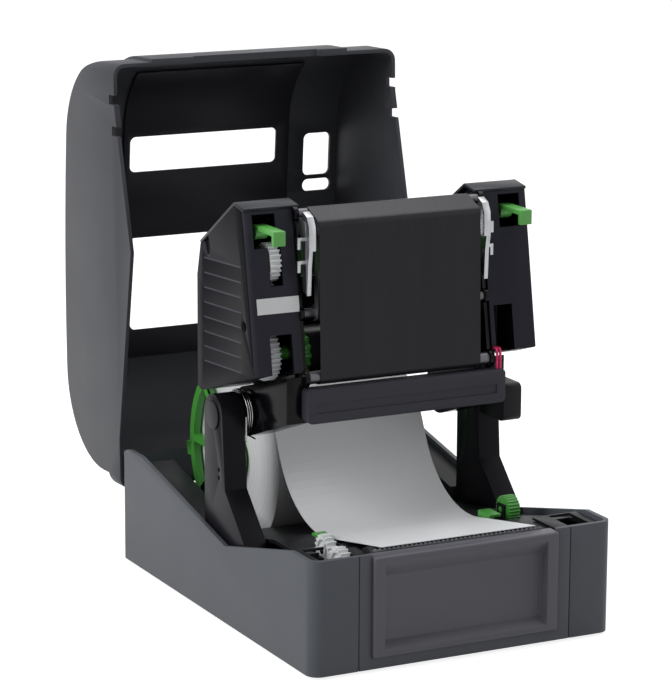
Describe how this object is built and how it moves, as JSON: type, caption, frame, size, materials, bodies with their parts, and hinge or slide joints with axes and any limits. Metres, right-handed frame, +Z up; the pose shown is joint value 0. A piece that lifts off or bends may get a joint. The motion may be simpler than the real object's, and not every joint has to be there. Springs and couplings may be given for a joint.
{
  "type": "label printer",
  "caption": "Desktop label printer with its windowed lid and its ribbon mechanism swung open over a label roll, sliding guides and a platen roller.",
  "frame": {"origin": "centre of the lower case's flat underside, which the rubber feet stand 2 mm below", "axes": "+X to the printer's right as its user faces the front the way the printer looks, that is the viewer's right from the front; +Y to the rear; +Z up"},
  "size_m": [0.204, 0.3764, 0.3285],
  "materials": {
    "case_grey": "fine grain",
    "panel_dark": "fine grain",
    "liner_dark": "fine grain",
    "inner_black": "fine grain",
    "foot_rubber": "matt",
    "platen_rubber": "ground",
    "bright_steel": "ground and polished",
    "plated_steel": "zinc plated",
    "spring_steel": "drawn wire",
    "sink_aluminium": "extruded",
    "white_plastic": "smooth",
    "touch_green": "smooth",
    "board_green": "lacquered",
    "label_paper": "coated paper",
    "core_board": "plain board",
    "ribbon_dark": "film",
    "head_ceramic": "glazed",
    "wire_magenta": "smooth",
    "window_clear": "clear",
    "lens_clear": "frosted"
  },
  "bodies": {
    "base": {"lower_case": "case_grey", "inner_frame": "inner_black", "front_panel": "panel_dark", "case_feet": "foot_rubber", "case_screws": "bright_steel", "arm_left": "inner_black", "arm_right": "inner_black", "arm_caps": "panel_dark", "cable_cover": "inner_black", "mech_pivot_pins": "bright_steel", "lid_hinge_pins": "bright_steel", "hinge_spring": "spring_steel", "platen_bushes": "white_plastic", "tear_bar": "bright_steel", "deck_end_plates": "inner_black", "drive_motor": "plated_steel", "main_board": "board_green", "rear_ports": "inner_black", "label_web": "label_paper"},
    "lid": {"lid_shell": "case_grey", "lid_liner": "liner_dark", "lid_windows": "window_clear"},
    "mechanism": {"mech_frame": "inner_black", "left_cover": "inner_black", "right_cover": "inner_black", "top_caps": "panel_dark", "sensor_bar": "inner_black", "ribbon_bars": "bright_steel", "head_brackets": "plated_steel", "sensor_wires": "wire_magenta", "status_lens": "lens_clear", "ribbon_film": "ribbon_dark"},
    "print_head": {"heat_sink": "sink_aluminium", "printhead": "head_ceramic"},
    "supply": {"supply_spindle": "touch_green", "supply_ribbon": "ribbon_dark", "supply_gear": "white_plastic"},
    "rewind": {"rewind_spindle": "touch_green", "rewind_ribbon": "ribbon_dark", "rewind_gear": "white_plastic"},
    "link_gear": {"ribbon_link_gear": "white_plastic"},
    "left_latch": {"latch_left": "touch_green"},
    "right_latch": {"latch_right": "touch_green"},
    "button": {"feed_button": "panel_dark"},
    "switch": {"power_switch": "inner_black"},
    "platen": {"platen_roller": "platen_rubber", "platen_shaft": "bright_steel", "platen_gear": "white_plastic"},
    "pinion": {"motor_pinion": "white_plastic"},
    "idler": {"drive_idler": "white_plastic"},
    "ribbon_drive": {"ribbon_drive_gear": "white_plastic"},
    "left_holder": {"roll_holder_left": "touch_green"},
    "right_holder": {"roll_holder_right": "touch_green"},
    "roll": {"label_roll": "label_paper", "roll_core": "core_board"},
    "left_guide": {"guide_left": "touch_green"},
    "right_guide": {"guide_right": "touch_green"},
    "thumbwheel": {"guide_knob": "touch_green"},
    "label_sensor": {"media_sensor": "inner_black"}
  },
  "joints": [
    {"name": "lid_hinge", "type": "hinge", "parent": "base", "child": "lid", "pos_m": [0, 0.125, 0.06], "axis": [1, 0, 0], "range_deg": [0, 55]},
    {"name": "mech_pivot", "type": "hinge", "parent": "base", "child": "mechanism", "pos_m": [0, 0.0055, 0.125], "axis": [1, 0, 0], "range_deg": [0, 88], "stiffness_Nm_per_rad": 0.3, "springref_deg": -74.48, "deforming": ["hinge_spring", "label_web"]},
    {"name": "head_float", "type": "hinge", "parent": "mechanism", "child": "print_head", "pos_m": [0, -0.04597, 0.19501], "axis": [-1, 0, 0], "range_deg": [0, 1.5], "stiffness_Nm_per_rad": 6, "springref_deg": -2.86},
    {"name": "supply_spin", "type": "hinge", "parent": "mechanism", "child": "supply", "pos_m": [0, -0.03002, 0.16844], "axis": [1, 0, 0], "continuous": true},
    {"name": "rewind_spin", "type": "hinge", "parent": "mechanism", "child": "rewind", "pos_m": [0, -0.034, 0.22604], "axis": [1, 0, 0], "continuous": true},
    {"name": "link_spin", "type": "hinge", "parent": "mechanism", "child": "link_gear", "pos_m": [0, -0.02092, 0.20016], "axis": [1, 0, 0], "continuous": true},
    {"name": "left_latch_pivot", "type": "hinge", "parent": "mechanism", "child": "left_latch", "pos_m": [0, -0.03249, 0.24452], "axis": [-1, 0, 0], "range_deg": [0, 7], "stiffness_Nm_per_rad": 0.2, "springref_deg": -5.73},
    {"name": "right_latch_pivot", "type": "hinge", "parent": "mechanism", "child": "right_latch", "pos_m": [0, -0.03249, 0.24452], "axis": [-1, 0, 0], "range_deg": [0, 7], "stiffness_Nm_per_rad": 0.2, "springref_deg": -5.73},
    {"name": "feed_press", "type": "slide", "parent": "mechanism", "child": "button", "axis": [0, -1, 0], "range_m": [0, 0.0012], "stiffness_N_per_m": 400, "springref_m": -0.0005},
    {"name": "switch_rock", "type": "hinge", "parent": "base", "child": "switch", "pos_m": [0, 0.134, 0.0205], "axis": [-1, 0, 0], "range_deg": [0, 16]},
    {"name": "platen_spin", "type": "hinge", "parent": "base", "child": "platen", "pos_m": [0, -0.12, 0.06], "axis": [1, 0, 0], "continuous": true},
    {"name": "pinion_spin", "type": "hinge", "parent": "base", "child": "pinion", "pos_m": [0, -0.1, 0.026], "axis": [1, 0, 0], "continuous": true},
    {"name": "idler_spin", "type": "hinge", "parent": "base", "child": "idler", "pos_m": [0, -0.11182, 0.03958], "axis": [1, 0, 0], "continuous": true},
    {"name": "ribbon_drive_spin", "type": "hinge", "parent": "base", "child": "ribbon_drive", "pos_m": [0, -0.10142, 0.06395], "axis": [1, 0, 0], "continuous": true},
    {"name": "right_holder_slide", "type": "slide", "parent": "base", "child": "right_holder", "axis": [1, 0, 0], "range_m": [0, 0.012], "stiffness_N_per_m": 300, "springref_m": -0.004},
    {"name": "left_holder_slide", "type": "slide", "parent": "base", "child": "left_holder", "axis": [-1, 0, 0], "range_m": [0, 0.012]},
    {"name": "roll_spin", "type": "hinge", "parent": "base", "child": "roll", "pos_m": [0, 0.066, 0.08], "axis": [1, 0, 0], "continuous": true},
    {"name": "right_guide_slide", "type": "slide", "parent": "base", "child": "right_guide", "axis": [1, 0, 0], "range_m": [0, 0.005]},
    {"name": "left_guide_slide", "type": "slide", "parent": "base", "child": "left_guide", "axis": [-1, 0, 0], "range_m": [0, 0.005]},
    {"name": "thumbwheel_spin", "type": "hinge", "parent": "base", "child": "thumbwheel", "pos_m": [0, -0.062, 0.0615], "axis": [1, 0, 0], "range_deg": [0, 60]},
    {"name": "label_sensor_slide", "type": "slide", "parent": "base", "child": "label_sensor", "axis": [1, 0, 0], "range_m": [-0.037, 0.037]}
  ],
  "couplings": [
    {"joint": "rewind_spin", "follows": "supply_spin", "ratio": 1.3636},
    {"joint": "link_spin", "follows": "supply_spin", "ratio": -0.83333},
    {"joint": "idler_spin", "follows": "platen_spin", "ratio": -0.83333},
    {"joint": "pinion_spin", "follows": "platen_spin", "ratio": 1.6667},
    {"joint": "ribbon_drive_spin", "follows": "platen_spin", "ratio": -1.1111},
    {"joint": "left_holder_slide", "follows": "right_holder_slide", "ratio": 1},
    {"joint": "left_guide_slide", "follows": "right_guide_slide", "ratio": 1},
    {"joint": "thumbwheel_spin", "follows": "right_guide_slide", "rad_per_m": 209.4}
  ]
}
